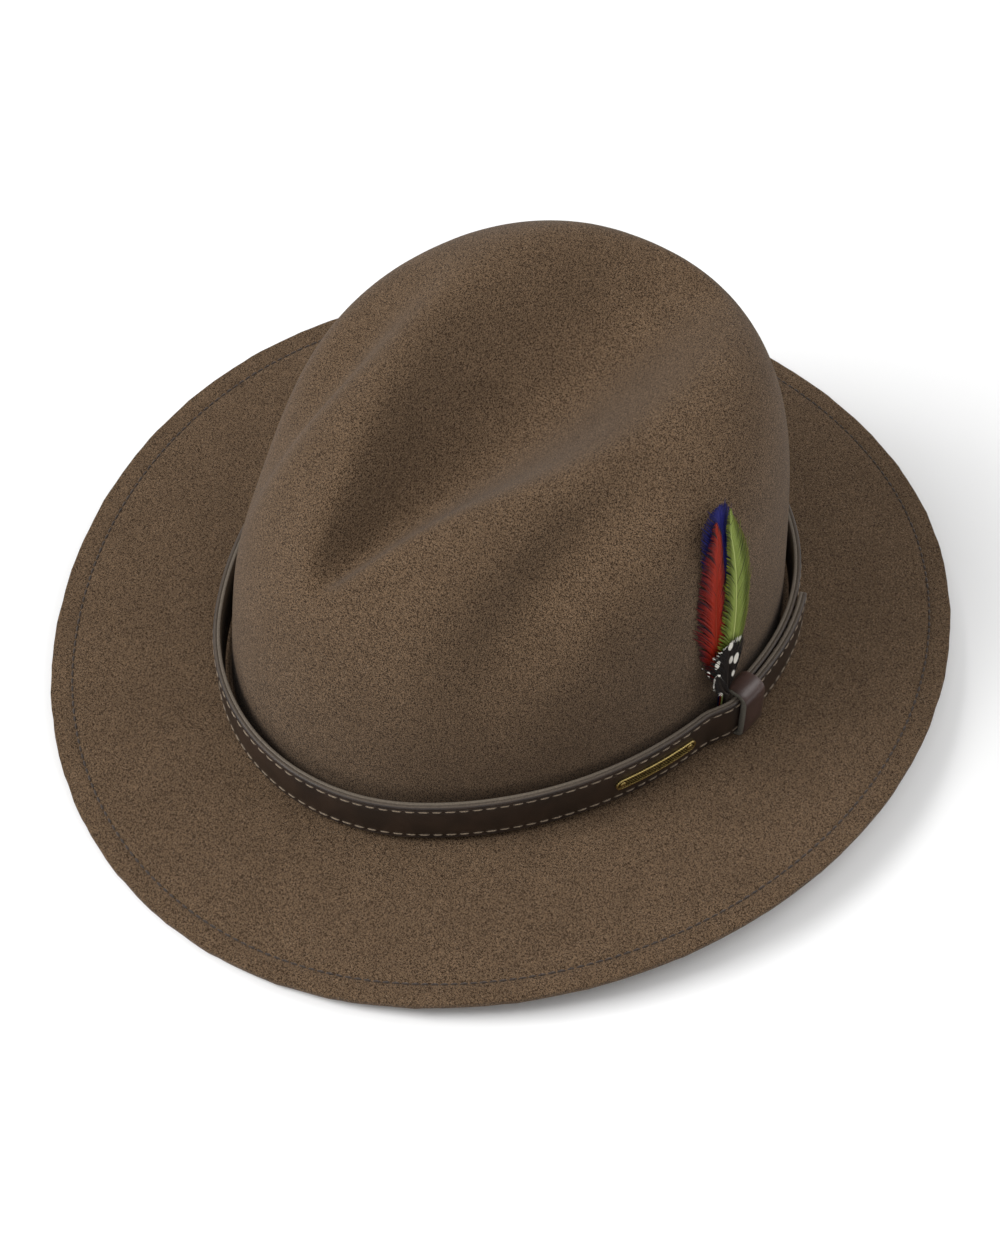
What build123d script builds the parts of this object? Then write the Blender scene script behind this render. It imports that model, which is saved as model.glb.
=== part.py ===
from build123d import *
from math import asin, atan2, cos, degrees, radians, sin, sqrt
import os

# Felt fedora, millimetres.  The front of the hat faces -Y, the wearer's left is +X, up is +Z.
# The origin is under the middle of the hat, on the surface that the brim stands on.
# Heights called "above the brim" are measured from the upper face of the brim, which is a
# shallow saddle: the sides turn up and the front and the back dip.

# ---- driving dimensions -------------------------------------------------------------------
felt_thickness = 2.4

head_length = 208.0          # crown outside, front to back, at the brim
head_width = 176.0           # crown outside, side to side, at its widest place
head_widest = 6.0            # how far behind the middle the crown is widest
nose_radius = 72.0           # round of the crown's front end

brim_length = 332.0
brim_width = 304.0
brim_end_radius = 140.0
brim_rise_side = 7.0         # how far each side edge stands above the middle
brim_drop_end = 7.0          # how far the front and the back edge hang below the middle
brim_stitch_inset = 7.5

crown_height = 112.0         # block height above the brim, at the middle
crown_slope = 7.5            # degrees, the top is higher at the back
front_taper = 13.0           # how far the front, the back and the sides lean in by the top
back_taper = 8.0
side_taper = 5.0
shoulder_radius = 26.0       # how far the rounded top edge reaches in from the wall

dent_front = 78.0            # teardrop dent: its point, ahead of the middle
dent_back = 80.0             # and its round end, behind the middle
dent_half_width = 42.0
dent_depth = 28.0
dent_point_radius = 9.0      # small round at the dent's front point
dent_floor_share = 0.35      # floor size as a share of the mouth
dent_rise = 30.0             # the dent's cutting shape runs on this far above the block
dent_flare = 1.25            # and is this much wider there

pinch_radius = 46.0          # hollow pressed in on each side of the front
pinch_depth = 13.0
pinch_side = 47.0
pinch_ahead = 42.0
pinch_below = 5.0            # under the height of the block at the middle
pinch_out = (0.53, -0.20, 0.82)

band_gap = 2.0               # crown to the back of the hatband
backing_thickness = 1.2
face_thickness = 1.4
band_height = 18.0
lap_gap = 0.5                # between the two layers where the hatband laps
lap_ramp_start = -0.2        # degrees on the left side arc, where the strap starts to lift
lap_ramp_end = 5.4
lap_under_end = 5.8          # where the hidden inner end of the strap stops
tail_end = 34.0              # degrees on the back arc, where the outer tail is cut

thread_width = 0.6
thread_proud = 0.25
thread_sunk = 0.35
band_stitch_inset = 2.2

keeper_thickness = 1.2
keeper_width = 10.0
keeper_angle = 7.9           # degrees on the left side arc
keeper_side_clearance = 0.4
keeper_top_clearance = 0.5
keeper_bottom_clearance = 1.0
keeper_floor_gap = 0.3       # keeper to the brim
staple_wire = 0.5
staple_width = 6.0

plate_length = 32.0
plate_width = 5.0
plate_thickness = 1.0
plate_rim = 0.7
plate_recess = 0.35
plate_angle = -9.2           # degrees on the left side arc
rivet_radius = 0.8
rivet_head_radius = 1.15
rivet_head_height = 0.4
rivet_inset = 2.6            # rivet centre from the end of the plate
rivet_clearance = 0.05

feather_angle = 4.5          # degrees on the left side arc
feather_crown_gap = 0.7
feather_lean = 5.0           # degrees, towards the crown
feather_rake = 2.6           # degrees, towards the back of the hat
vane_thickness = 0.5
vane_gap = 0.2
quill_width = 1.2
quill_length = 14.0
quill_foot = 3.0             # how far the vane starts above the hatband
binding_height = 5.0
binding_wall = 0.3
binding_width = 3.6

sweatband_gap = 0.4          # felt to the sweatband
sweatband_thickness = 1.0
sweatband_height = 34.0
sweatband_drop = 1.2         # how far it starts above the underside of the brim
reed_width = 1.6
reed_height = 2.4
sweat_stitch_height = 5.5
seam_tape_width = 12.0
seam_tape_thickness = 0.4
bow_length = 22.0
bow_width = 5.0
bow_thickness = 1.2
tag_width = 24.0
tag_height = 14.0
tag_thickness = 0.4

# ---- derived places -----------------------------------------------------------------------
brim_top = brim_drop_end + felt_thickness
side_bend = (brim_width / 2) ** 2 / (2 * brim_rise_side)
end_bend = (brim_length / 2) ** 2 / (2 * brim_drop_end)
band_thickness = backing_thickness + face_thickness
lap_step = band_thickness + lap_gap
band_outside = band_gap + band_thickness
lap_outside = band_outside + lap_step
band_bottom = keeper_floor_gap + keeper_thickness + keeper_bottom_clearance
band_top = band_bottom + band_height
far = 400.0


class Oval:
    """Four tangent arcs: a nose, a back and two sides.  `grow` moves every arc outwards."""

    def __init__(self, length, width, widest, nose):
        half_length = length / 2
        half_width = width / 2
        run = widest + half_length - nose
        self.side = (run**2 + half_width**2 - nose**2) / (2 * (half_width - nose))
        rest = half_length - widest
        lead = self.side - half_width
        self.back = (self.side**2 - lead**2 - rest**2) / (2 * (self.side - rest))
        self.nose = nose
        self.nose_y = nose - half_length
        self.back_y = half_length - self.back
        self.side_x = -lead
        self.side_y = widest

    def wire(self, grow=0.0):
        """The closed outline, as edges of the active line builder."""
        nose_turn = degrees(atan2(self.side_y - self.nose_y, -self.side_x))
        back_turn = degrees(atan2(self.back_y - self.side_y, -self.side_x))
        CenterArc((self.side_x, self.side_y), self.side + grow, -nose_turn, nose_turn + back_turn)
        CenterArc((0, self.back_y), self.back + grow, back_turn, 180 - 2 * back_turn)
        side_turn = nose_turn + back_turn
        CenterArc((-self.side_x, self.side_y), self.side + grow, 180 - back_turn, side_turn)
        CenterArc((0, self.nose_y), self.nose + grow, 180 + nose_turn, 180 - 2 * nose_turn)


head = Oval(head_length, head_width, head_widest, nose_radius)
brim_oval = Oval(brim_length, brim_width, 0.0, brim_end_radius)


def side_point(angle, offset):
    """A point on the left side arc, `offset` outside the crown."""
    reach = head.side + offset
    return (head.side_x + reach * cos(radians(angle)), head.side_y + reach * sin(radians(angle)))


def oval_disc(oval, grow=0.0):
    """A flat oval face."""
    with BuildSketch() as disc:
        with BuildLine():
            oval.wire(grow)
        make_face()
    return disc.sketch


def ring_face(inner, outer):
    """A flat ring round the crown between two offsets."""
    with BuildSketch() as ring:
        add(oval_disc(head, outer))
        add(oval_disc(head, inner), mode=Mode.SUBTRACT)
    return ring.sketch


def saddle_slab(bottom, top):
    """The layer between two heights above the brim, bent to the saddle of the brim."""
    half_span = brim_length / 2 + 20
    half_turn = degrees(asin((half_span + 10) / end_bend))
    turn = radians(half_turn)
    start = Plane(
        origin=(0, end_bend * sin(turn), brim_top + end_bend * (cos(turn) - 1)),
        x_dir=(1, 0, 0),
        z_dir=(0, -cos(turn), sin(turn)),
    )
    low = side_bend - bottom
    high = side_bend - top
    low_edge = side_bend - sqrt(low**2 - half_span**2)
    high_edge = side_bend - sqrt(high**2 - half_span**2)
    with BuildPart() as slab:
        with BuildSketch(start):
            with BuildLine():
                ThreePointArc((-half_span, low_edge), (0, bottom), (half_span, low_edge))
                Line((half_span, low_edge), (half_span, high_edge))
                ThreePointArc((half_span, high_edge), (0, top), (-half_span, high_edge))
                Line((-half_span, high_edge), (-half_span, low_edge))
            make_face()
        revolve(axis=Axis((0, 0, brim_top - end_bend), (1, 0, 0)), revolution_arc=2 * half_turn)
    return slab.part


def wall(plan, bottom, top):
    """A flat plan raised into a wall whose edges follow the brim."""
    with BuildPart() as raised:
        with BuildSketch():
            add(plan)
        extrude(amount=far)
        add(saddle_slab(bottom, top), mode=Mode.INTERSECT)
    return raised.part


# ---- felt ---------------------------------------------------------------------------------
def crown_block(inset):
    """The blocked crown before it is dented, `inset` inside its outer face."""
    levels = [(-0.25, 0.0), (0.0, 0.0), (0.3, 0.0), (0.6, 0.04), (0.8, 0.16), (0.92, 0.42), (1.0, 1.0)]
    with BuildPart() as block:
        for share, shoulder in levels:
            lean = max(share, 0.0)
            pull = shoulder_radius * shoulder + inset
            front = head_length / 2 - front_taper * lean - pull
            back = head_length / 2 - back_taper * lean - pull
            half_width = head_width / 2 - side_taper * lean - pull
            height = brim_top + share * (crown_height - inset)
            tilt = crown_slope * lean
            level = Plane(
                origin=(0, (back - front) / 2, height),
                x_dir=(1, 0, 0),
                z_dir=(0, -sin(radians(tilt)), cos(radians(tilt))),
            )
            nose = nose_radius * (front + back) / head_length - 0.4 * pull * shoulder
            nose = min(nose, half_width - 8)
            section = Oval(front + back, 2 * half_width, head_widest * (1 - lean), nose)
            with BuildSketch(level):
                with BuildLine():
                    section.wire()
                make_face()
        loft()
    return block.part


def teardrop(front, back, half_width, nose):
    """A flat teardrop, pointed towards -Y, with a small round at its point."""
    centre = back - half_width
    nose_centre = nose - front
    slant = asin((half_width - nose) / (centre - nose_centre))
    side = cos(slant)
    lift = -sin(slant)
    turn = degrees(slant)
    with BuildSketch() as drop:
        with BuildLine():
            CenterArc((0, centre), half_width, -turn, 180 + 2 * turn)
            Line(
                (-half_width * side, centre + half_width * lift),
                (-nose * side, nose_centre + nose * lift),
            )
            CenterArc((0, nose_centre), nose, 180 + turn, 180 - 2 * turn)
            Line(
                (nose * side, nose_centre + nose * lift),
                (half_width * side, centre + half_width * lift),
            )
        make_face()
    return drop.sketch


def dent_tool(grow):
    """The teardrop dent in the top, `grow` larger all round and deeper."""
    tilt = radians(crown_slope)
    middle = brim_top + crown_height
    mouth = (dent_front, dent_back, dent_half_width, dent_point_radius)
    sizes = [
        (middle + dent_rise, dent_flare),
        (middle, 1.0),
        (middle - 0.6 * dent_depth, 0.75),
        (middle - dent_depth - grow, dent_floor_share),
    ]
    with BuildPart() as dent:
        for height, size in sizes:
            level = Plane(origin=(0, 0, height), x_dir=(1, 0, 0), z_dir=(0, -sin(tilt), cos(tilt)))
            with BuildSketch(level):
                add(teardrop(*(part * size + grow for part in mouth)))
        loft()
    return dent.part


def pinch_tool(grow):
    """The two hollows pressed into the front of the crown by finger and thumb."""
    out_x, out_y, out_z = pinch_out
    height = brim_top + crown_height - pinch_below
    reach = pinch_radius - pinch_depth
    with BuildPart() as pinch:
        for side in (1, -1):
            spot = (
                side * (pinch_side + out_x * reach),
                -pinch_ahead + out_y * reach,
                height + out_z * reach,
            )
            with Locations(spot):
                Sphere(pinch_radius + grow)
    return pinch.part


def make_felt_body():
    """Crown and brim, blocked from one piece of felt, with the raw edge of the brim left plain."""
    with BuildPart() as shell:
        add(crown_block(0))
        add(dent_tool(0), mode=Mode.SUBTRACT)
        add(pinch_tool(0), mode=Mode.SUBTRACT)
        add(saddle_slab(-felt_thickness, far / 2), mode=Mode.INTERSECT)
    with BuildPart() as hollow:
        add(crown_block(felt_thickness))
        add(dent_tool(felt_thickness), mode=Mode.SUBTRACT)
        add(pinch_tool(felt_thickness), mode=Mode.SUBTRACT)
    with BuildPart() as felt_body:
        add(wall(oval_disc(brim_oval), -felt_thickness, 0))
        add(shell.part)
        add(hollow.part, mode=Mode.SUBTRACT)
        add(brim_thread(thread_width + 0.1, -thread_sunk, thread_proud), mode=Mode.SUBTRACT)
    return felt_body.part


def brim_thread(width, bottom, top):
    """One row of thread round the brim, a little inside its edge."""
    with BuildSketch() as row:
        add(oval_disc(brim_oval, -brim_stitch_inset + width / 2))
        add(oval_disc(brim_oval, -brim_stitch_inset - width / 2), mode=Mode.SUBTRACT)
    return wall(row.sketch, bottom, top)


# ---- hatband ------------------------------------------------------------------------------
def strap_plan(inner, outer):
    """The strap seen from above.

    It starts hidden behind itself, runs once round the crown, lifts over its own start
    on a short ramp and ends in the outer tail.
    """
    reach = head.side + 60
    with BuildSketch() as opening:
        with BuildLine():
            Polyline(
                side_point(lap_ramp_start, -20),
                side_point(lap_ramp_start, 60),
                side_point(lap_under_end, 60),
                side_point(lap_under_end, -20),
                close=True,
            )
        make_face()
    with BuildSketch() as tail_sector:
        with BuildLine():
            Polyline(
                side_point(lap_ramp_end, -20),
                side_point(lap_ramp_end, 60),
                (reach, head.back_y + reach * sin(radians(tail_end))),
                (reach * cos(radians(tail_end)), head.back_y + reach * sin(radians(tail_end))),
                (0, head.back_y),
                close=True,
            )
        make_face()
    along_start = (-sin(radians(lap_ramp_start)), cos(radians(lap_ramp_start)))
    along_end = (-sin(radians(lap_ramp_end)), cos(radians(lap_ramp_end)))
    with BuildSketch() as ramp:
        with BuildLine():
            Spline(
                side_point(lap_ramp_start, inner),
                side_point(lap_ramp_end, inner + lap_step),
                tangents=(along_start, along_end),
            )
            Line(
                side_point(lap_ramp_end, inner + lap_step),
                side_point(lap_ramp_end, outer + lap_step),
            )
            Spline(
                side_point(lap_ramp_start, outer),
                side_point(lap_ramp_end, outer + lap_step),
                tangents=(along_start, along_end),
            )
            Line(side_point(lap_ramp_start, outer), side_point(lap_ramp_start, inner))
        make_face()
    with BuildSketch() as tail:
        add(ring_face(inner + lap_step, outer + lap_step))
        add(tail_sector.sketch, mode=Mode.INTERSECT)
    with BuildSketch() as plan:
        add(ring_face(inner, outer))
        add(opening.sketch, mode=Mode.SUBTRACT)
        add(ramp.sketch)
        add(tail.sketch)
    return plan.sketch


def band_thread(height, width, sunk):
    """One row of stitching on the face of the strap."""
    row = strap_plan(band_outside - sunk, band_outside + thread_proud)
    return wall(row, height - width / 2, height + width / 2)


def rivet_places():
    """Centres of the two rivets of the plate, as angles on the left side arc."""
    swing = degrees((plate_length / 2 - rivet_inset) / (head.side + band_outside))
    return [plate_angle - swing, plate_angle + swing]


def rivet_plane(angle, offset):
    """A plane facing out of the hatband at half its height."""
    x, y = side_point(angle, offset)
    out = (cos(radians(angle)), sin(radians(angle)), 0)
    lift = x**2 / (2 * side_bend) - y**2 / (2 * end_bend)
    height = brim_top + lift + (band_bottom + band_top) / 2
    return Plane(origin=(x, y, height), x_dir=(-out[1], out[0], 0), z_dir=out)


def rivet_bores(radius):
    """The bores that the rivets pass through."""
    with BuildPart() as bores:
        for angle in rivet_places():
            with BuildSketch(rivet_plane(angle, band_gap - 1)):
                Circle(radius)
            extrude(amount=band_thickness + plate_thickness + 3)
    return bores.part


def make_band_backing():
    """Inner ply of the hatband, suede side to the felt."""
    with BuildPart() as band_backing:
        add(wall(strap_plan(band_gap, band_gap + backing_thickness), band_bottom, band_top))
        add(rivet_bores(rivet_radius + rivet_clearance), mode=Mode.SUBTRACT)
    return band_backing.part


def make_band_strap():
    """Outer ply of the hatband, smooth side out."""
    low = band_bottom + band_stitch_inset
    high = band_top - band_stitch_inset
    with BuildPart() as band_strap:
        add(wall(strap_plan(band_gap + backing_thickness, band_outside), band_bottom, band_top))
        add(rivet_bores(rivet_radius + rivet_clearance), mode=Mode.SUBTRACT)
        for height in (low, high):
            add(band_thread(height, thread_width + 0.1, thread_sunk), mode=Mode.SUBTRACT)
    return band_strap.part


# ---- keeper -------------------------------------------------------------------------------
def keeper_sector(inner, outer, width):
    """The stretch of the side arc that the keeper covers."""
    swing = degrees(width / 2 / (head.side + band_outside))
    with BuildSketch() as sector:
        with BuildLine():
            CenterArc((head.side_x, head.side_y), head.side + outer, keeper_angle - swing, 2 * swing)
            Line(side_point(keeper_angle + swing, outer), side_point(keeper_angle + swing, inner))
            CenterArc((head.side_x, head.side_y), head.side + inner, keeper_angle - swing, 2 * swing)
            Line(side_point(keeper_angle - swing, inner), side_point(keeper_angle - swing, outer))
        make_face()
    return sector.sketch


keeper_inside = band_gap - keeper_side_clearance
keeper_outside = lap_outside + thread_proud + keeper_side_clearance
keeper_low = band_bottom - keeper_bottom_clearance
keeper_high = band_top + keeper_top_clearance


def make_keeper_loop():
    """Leather loop round both layers of the hatband."""
    plan = keeper_sector(keeper_inside - keeper_thickness, keeper_outside + keeper_thickness, keeper_width)
    with BuildPart() as keeper_loop:
        add(wall(plan, keeper_low - keeper_thickness, keeper_high + keeper_thickness))
        add(
            wall(keeper_sector(keeper_inside, keeper_outside, keeper_width + 4), keeper_low, keeper_high),
            mode=Mode.SUBTRACT,
        )
        add(make_keeper_staple(), mode=Mode.SUBTRACT)
    return keeper_loop.part


def make_keeper_staple():
    """Flat wire staple that closes the loop, flush in its back."""
    middle = (keeper_low + keeper_high) / 2
    back = keeper_inside - keeper_thickness
    plan = keeper_sector(back, back + staple_wire, staple_width)
    return wall(plan, middle - staple_wire, middle + staple_wire)


# ---- plate --------------------------------------------------------------------------------
def plate_blank(shrink, low, high):
    """A round-ended strip bent to the hatband, between two heights off its face."""
    swing = degrees((plate_length / 2 + 5) / (head.side + band_outside))
    with BuildPart() as strip:
        with BuildSketch(Plane.XY.offset(brim_top - 5)):
            with BuildLine():
                centre = (head.side_x, head.side_y)
                start = plate_angle - swing
                CenterArc(centre, head.side + band_outside + high, start, 2 * swing)
                Line(
                    side_point(start + 2 * swing, band_outside + high),
                    side_point(start + 2 * swing, band_outside + low),
                )
                CenterArc(centre, head.side + band_outside + low, start, 2 * swing)
                Line(side_point(start, band_outside + low), side_point(start, band_outside + high))
            make_face()
        extrude(amount=band_top + 20)
        with BuildSketch(rivet_plane(plate_angle, band_outside - 5)):
            SlotOverall(plate_length - 2 * shrink, plate_width - 2 * shrink)
        extrude(amount=12, mode=Mode.INTERSECT)
    return strip.part


def make_brass_plate():
    """Long brass plate with a raised rim and a plain sunk field."""
    with BuildPart() as brass_plate:
        add(plate_blank(0, 0, plate_thickness))
        add(plate_blank(plate_rim, plate_thickness - plate_recess, plate_thickness + 1), mode=Mode.SUBTRACT)
        add(rivet_bores(rivet_radius + rivet_clearance), mode=Mode.SUBTRACT)
    return brass_plate.part


def make_plate_rivets():
    """Two brass rivets through the plate and both plies."""
    head_seat = band_outside + plate_thickness - plate_recess
    with BuildPart() as plate_rivets:
        for angle in rivet_places():
            with BuildSketch(rivet_plane(angle, band_gap)):
                Circle(rivet_radius)
            extrude(amount=head_seat - band_gap)
            with BuildSketch(rivet_plane(angle, head_seat)):
                Circle(rivet_head_radius)
            extrude(amount=rivet_head_height)
    return plate_rivets.part


# ---- feathers -----------------------------------------------------------------------------
def feather_plane(height, lean):
    """A plane on the crown behind the hatband: x to the back of the hat, y up, z outwards."""
    x, y = side_point(feather_angle, feather_crown_gap)
    out_x = cos(radians(feather_angle))
    out_y = sin(radians(feather_angle))
    tip = radians(lean)
    lift = x**2 / (2 * side_bend) - y**2 / (2 * end_bend)
    return Plane(
        origin=(x, y, brim_top + lift + height),
        x_dir=(-out_y, out_x, 0),
        z_dir=(out_x * cos(tip), out_y * cos(tip), sin(tip)),
    )


def feather(layer, length, width, shift, turn):
    """One flat feather: a vane above the hatband and its quill behind it."""
    depth = layer * (vane_thickness + vane_gap)
    angle = radians(feather_rake + turn)

    def spot(along, across):
        return (
            shift + along * sin(angle) + across * cos(angle),
            along * cos(angle) - across * sin(angle),
        )

    with BuildPart() as whole:
        with BuildSketch(feather_plane(band_top + quill_foot, feather_lean).offset(depth)):
            with BuildLine():
                Spline(
                    spot(0, -quill_width / 2),
                    spot(0.25 * length, -0.42 * width),
                    spot(0.6 * length, -0.5 * width),
                    spot(length, 0),
                    spot(0.6 * length, 0.5 * width),
                    spot(0.25 * length, 0.42 * width),
                    spot(0, quill_width / 2),
                )
                Line(spot(0, quill_width / 2), spot(0, -quill_width / 2))
            make_face()
        extrude(amount=vane_thickness)
        with BuildSketch(feather_plane(band_top - quill_length, 0).offset(depth)):
            with Locations((shift, (quill_length + quill_foot + 1) / 2)):
                Rectangle(quill_width, quill_length + quill_foot + 1)
        extrude(amount=vane_thickness)
    return whole.part


def make_feathers():
    """The five feathers, from the crown outwards."""
    return {
        "blue_feather": feather(0, 83.0, 14.0, 0.0, 0.0),
        "red_feather": feather(1, 76.0, 17.0, -0.6, -3.0),
        "green_feather": feather(2, 81.0, 17.0, 0.6, 3.0),
        "guinea_feather_front": feather(3, 26.0, 17.0, 0.0, 0.0),
        "guinea_feather_side": feather(4, 18.0, 5.0, -0.6, -22.0),
    }


def make_feather_binding():
    """Thread wrapped round the five quills."""
    depth = 5 * vane_thickness + 4 * vane_gap
    start = feather_plane(band_top - quill_length + 1, 0).offset(depth / 2)
    with BuildPart() as feather_binding:
        with BuildSketch(Plane(origin=start.origin, x_dir=start.x_dir, z_dir=(0, 0, 1))):
            RectangleRounded(binding_width, depth + 2 * binding_wall + 0.1, 0.4)
            Rectangle(binding_width - 2 * binding_wall, depth + 0.1, mode=Mode.SUBTRACT)
        extrude(amount=binding_height)
    return feather_binding.part


# ---- sweatband ----------------------------------------------------------------------------
sweat_outside = felt_thickness + sweatband_gap
sweat_inside = sweat_outside + sweatband_thickness
sweat_bottom = -felt_thickness + sweatband_drop
sweat_top = sweat_bottom + sweatband_height


def inner_layer(outer, inner, bottom, top):
    """A layer that follows the inside of the crown, between two insets and two heights."""
    with BuildPart() as layer:
        add(crown_block(outer))
        add(crown_block(inner), mode=Mode.SUBTRACT)
        add(saddle_slab(bottom, top), mode=Mode.INTERSECT)
    return layer.part


def back_patch(width, y_side):
    """A box that keeps only a stretch of an inner layer at the back or at the front."""
    with BuildPart() as patch:
        with Locations((0, y_side * head_length / 2, brim_top + 20)):
            Box(width, head_length / 2, 140)
    return patch.part


def make_sweatband():
    """Leather band inside the crown, with a groove for its stitching."""
    with BuildPart() as sweatband:
        add(inner_layer(sweat_outside, sweat_inside, sweat_bottom, sweat_top))
        add(sweat_thread(thread_width + 0.1, thread_sunk), mode=Mode.SUBTRACT)
    return sweatband.part


def sweat_thread(width, sunk):
    """The row of thread that holds the sweatband to the reed."""
    row = sweat_bottom + sweat_stitch_height
    return inner_layer(sweat_inside - sunk, sweat_inside + thread_proud, row - width / 2, row + width / 2)


def make_sweatband_reed():
    """Thin welting that the lower edge of the sweatband is rolled on."""
    return inner_layer(
        sweat_inside + 0.1, sweat_inside + 0.1 + reed_width, sweat_bottom, sweat_bottom + reed_height
    )


def make_sweatband_seam_tape():
    """Tape over the butted ends of the sweatband, at the back."""
    low = sweat_bottom + sweat_stitch_height + 2
    with BuildPart() as sweatband_seam_tape:
        add(inner_layer(sweat_inside + 0.1, sweat_inside + 0.1 + seam_tape_thickness, low, sweat_top - 1))
        add(back_patch(seam_tape_width, 1), mode=Mode.INTERSECT)
    return sweatband_seam_tape.part


def make_sweatband_bow():
    """Small flat ribbon bow on the seam tape."""
    tape = sweat_inside + 0.2 + seam_tape_thickness
    middle = sweat_bottom + sweat_stitch_height + 10
    with BuildPart() as sweatband_bow:
        add(inner_layer(tape, tape + bow_thickness, middle - bow_width / 2, middle + bow_width / 2))
        add(back_patch(bow_length, 1), mode=Mode.INTERSECT)
    return sweatband_bow.part


def make_size_tag():
    """Blank woven tag on the inside of the sweatband, at the front."""
    middle = (sweat_bottom + sweat_top) / 2
    with BuildPart() as size_tag:
        add(
            inner_layer(
                sweat_inside + 0.1,
                sweat_inside + 0.1 + tag_thickness,
                middle - tag_height / 2,
                middle + tag_height / 2,
            )
        )
        add(back_patch(tag_width, -1), mode=Mode.INTERSECT)
    return size_tag.part


# ---- write every piece --------------------------------------------------------------------
os.makedirs("parts", exist_ok=True)

pieces = {
    "felt_body": make_felt_body(),
    "brim_stitching": brim_thread(thread_width, -thread_sunk, thread_proud),
    "band_backing": make_band_backing(),
    "band_strap": make_band_strap(),
    "band_stitching_lower": band_thread(band_bottom + band_stitch_inset, thread_width, thread_sunk),
    "band_stitching_upper": band_thread(band_top - band_stitch_inset, thread_width, thread_sunk),
    "keeper_loop": make_keeper_loop(),
    "keeper_staple": make_keeper_staple(),
    "brass_plate": make_brass_plate(),
    "plate_rivets": make_plate_rivets(),
    "feather_binding": make_feather_binding(),
    "sweatband": make_sweatband(),
    "sweatband_reed": make_sweatband_reed(),
    "sweatband_stitching": sweat_thread(thread_width, thread_sunk),
    "sweatband_seam_tape": make_sweatband_seam_tape(),
    "sweatband_bow": make_sweatband_bow(),
    "size_tag": make_size_tag(),
}
pieces.update(make_feathers())

for name, piece in pieces.items():
    piece.label = name
    export_step(piece, f"parts/{name}.step")

print("keeper hinge axis at", round(head.side_x, 4), round(head.side_y, 4))
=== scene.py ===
"""The looks of a blocked felt fedora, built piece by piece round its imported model."""

from math import atan2, cos, pi, radians, sin, sqrt

import bmesh
import bpy
import numpy as np
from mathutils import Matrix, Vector


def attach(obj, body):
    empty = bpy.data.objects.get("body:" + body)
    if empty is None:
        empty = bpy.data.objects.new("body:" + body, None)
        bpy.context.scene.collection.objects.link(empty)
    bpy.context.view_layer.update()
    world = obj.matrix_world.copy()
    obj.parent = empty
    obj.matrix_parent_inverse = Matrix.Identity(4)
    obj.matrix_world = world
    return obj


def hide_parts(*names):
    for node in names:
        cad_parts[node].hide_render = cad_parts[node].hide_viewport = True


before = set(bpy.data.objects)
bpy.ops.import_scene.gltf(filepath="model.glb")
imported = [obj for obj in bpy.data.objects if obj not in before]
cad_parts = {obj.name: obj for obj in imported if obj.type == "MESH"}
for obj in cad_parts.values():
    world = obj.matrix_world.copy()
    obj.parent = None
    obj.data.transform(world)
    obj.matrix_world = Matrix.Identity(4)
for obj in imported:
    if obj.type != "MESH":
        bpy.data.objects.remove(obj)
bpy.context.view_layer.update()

# ---- sizes, in millimetres --------------------------------------------------------------
MM = 0.001

felt_thickness = 2.4
brim_top = 9.4
brim_half_width = 152.0
brim_half_length = 166.0
brim_swing = 7.0
side_bend = brim_half_width**2 / (2 * brim_swing)
end_bend = brim_half_length**2 / (2 * brim_swing)
brim_stitch_inset = 7.5
break_radius = 2.4

crown_height = 113.0
crown_slope = 0.13
front_lean = 0.14
back_lean = 0.08
side_lean = 0.05
front_round = 3.2
back_round = 6.0
dent_middle = 2.0
dent_length = 83.0
dent_half_width = 43.0
dent_nose_share = 0.45
dent_slope = 1.12
dent_depth = 32.0
dent_back_round = 3.5
pinch_depth = 16.0
pinch_side = 60.0
pinch_ahead = 34.0
pinch_across = 12.0
pinch_along = 42.0
pinch_in = 0.45              # shares of a pinch's push that go inwards and down
pinch_down = 0.75
crown_rows = 112
damp_rounds = 11
rim_insets = np.array([0.35, 0.8, 1.6, 3.0, 4.8, 6.2, 6.8, 7.1, 7.5, 7.9, 8.2, 8.8, 10.0])
groove_depth = 0.4
groove_width = 0.75

band_gap = 2.0
backing_thickness = 1.2
band_outside = 4.6
lap_step = 3.1
band_bottom = 2.5
band_top = 20.5
strap_start = 5.8
ramp_start = 359.8
ramp_end = 365.4
strap_end = 394.0
band_stitch_inset = 2.2

keeper_angle = 7.9
keeper_half_width = 5.0
keeper_thickness = 2.3
keeper_inside = 1.6
keeper_outside = 8.35
keeper_low = 1.5
keeper_high = 21.0

plate_angle = -9.2
plate_length = 32.0
plate_width = 5.0
rivet_inset = 2.6

feather_angle = 4.5
feather_crown_gap = 0.7
feather_lean = 5.0
feather_rake = 2.6
feather_layer = 0.7
quill_foot = 3.0
quill_length = 14.0
spotted_lift = 0.8           # the spotted vanes stand this much prouder than the long ones
vane_cup = 0.012             # inward curve of a vane across its width, per square millimetre
tip_bend = 0.0014            # and along its length, above tip_bend_start
tip_bend_start = 30.0
barb_angle = 1.08            # radians from square to the shaft, at its foot
barb_steepening = 0.14

sweat_outside = 2.8
sweat_inside = 3.8
sweat_bottom = -1.2
sweat_top = 32.8
sweat_stitch = 4.3


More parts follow.
